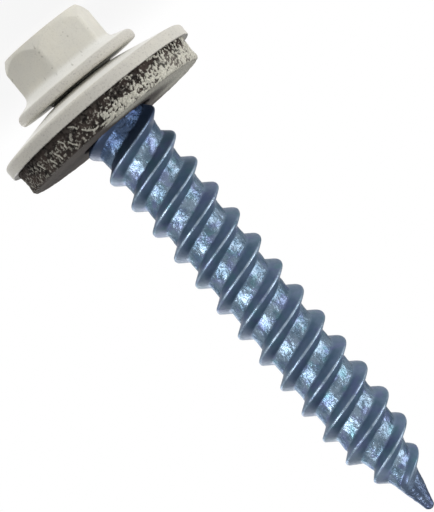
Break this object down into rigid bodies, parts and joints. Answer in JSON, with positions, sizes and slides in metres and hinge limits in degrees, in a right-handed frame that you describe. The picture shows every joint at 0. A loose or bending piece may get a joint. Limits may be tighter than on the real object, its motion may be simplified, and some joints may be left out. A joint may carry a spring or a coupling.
{
  "type": "roofing screw",
  "caption": "Hexagon washer head roofing screw with a dished sealing washer, a bonded rubber seal and a coarse twin-start thread that runs out on a gimlet point.",
  "frame": {"origin": "middle of the head's end face, which the screw stands on", "axes": "+Z along the screw from the head to the point, +X square to a pair of hexagon flats"},
  "size_m": [0.019, 0.019, 0.0516],
  "materials": {
    "zinc_steel": "bright zinc on the shank and off-white powder coat on the head",
    "painted_washer": "off-white powder coat",
    "seal_rubber": "matt dark rubber with paint overspray"
  },
  "bodies": {
    "root": {"screw": "zinc_steel", "metal_washer": "painted_washer", "rubber_seal": "seal_rubber"}
  },
  "joints": []
}
